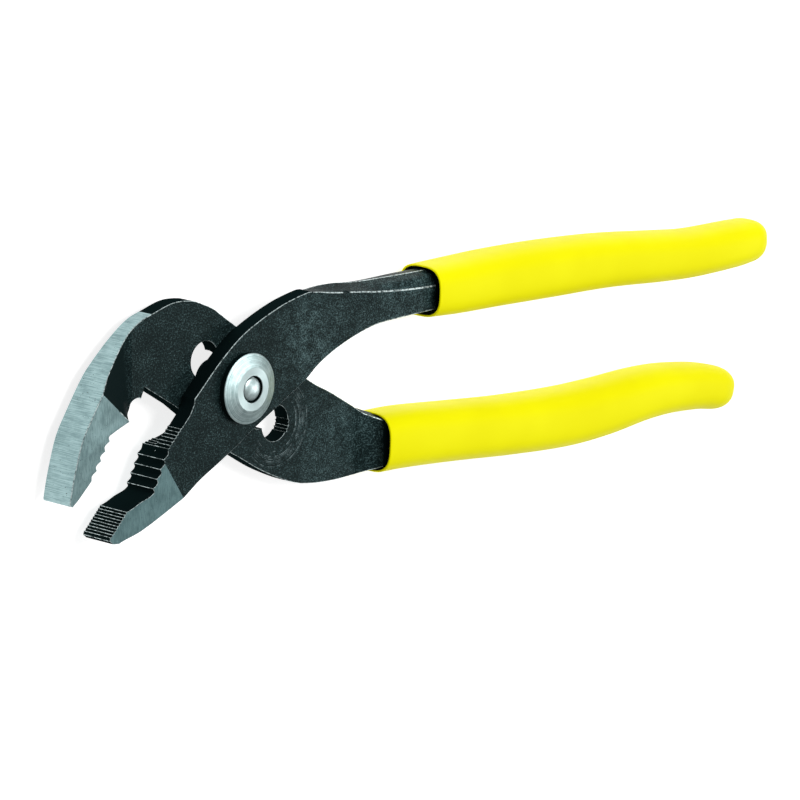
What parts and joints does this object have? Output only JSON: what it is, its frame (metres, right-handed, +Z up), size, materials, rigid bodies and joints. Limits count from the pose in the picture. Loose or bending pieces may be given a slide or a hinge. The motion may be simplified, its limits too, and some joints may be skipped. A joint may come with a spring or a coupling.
{
  "type": "slip joint pliers",
  "caption": "Slip joint pliers: two lapped steel levers with toothed jaws, a scalloped slot with a bolt and nut pivot, and dipped grips.",
  "frame": {"origin": "on the pivot axis, at the flat rear face of the pivot bolt's head, which is the plane that the tool lies on", "axes": "+X from the pivot towards the handles, so the jaws are at -X; +Y across the jaws, towards the hooked jaw; +Z up through the thickness, towards the nut"},
  "size_m": [0.2527, 0.0604, 0.0143],
  "materials": {
    "black_steel": "black oxide on forged steel, jaw sides and back ground bright",
    "bright_steel": "turned and zinc plated",
    "spring_steel": "dull spring steel",
    "yellow_grip": "satin dipped vinyl"
  },
  "bodies": {
    "front": {"front_lever": "black_steel", "front_grip": "yellow_grip", "pivot_bolt": "bright_steel", "pivot_nut": "bright_steel"},
    "carrier": {"spring_washer": "spring_steel"},
    "rear": {"rear_lever": "black_steel", "rear_grip": "yellow_grip"}
  },
  "joints": [
    {"name": "jaw_hinge", "type": "hinge", "parent": "front", "child": "carrier", "pos_m": [0, 0, 0], "axis": [0, 0, 1], "range_deg": [-38, 4]},
    {"name": "slot_slide", "type": "slide", "parent": "carrier", "child": "rear", "axis": [0.7749, -0.632, 0], "range_m": [-0.0189, 0.0063]}
  ]
}
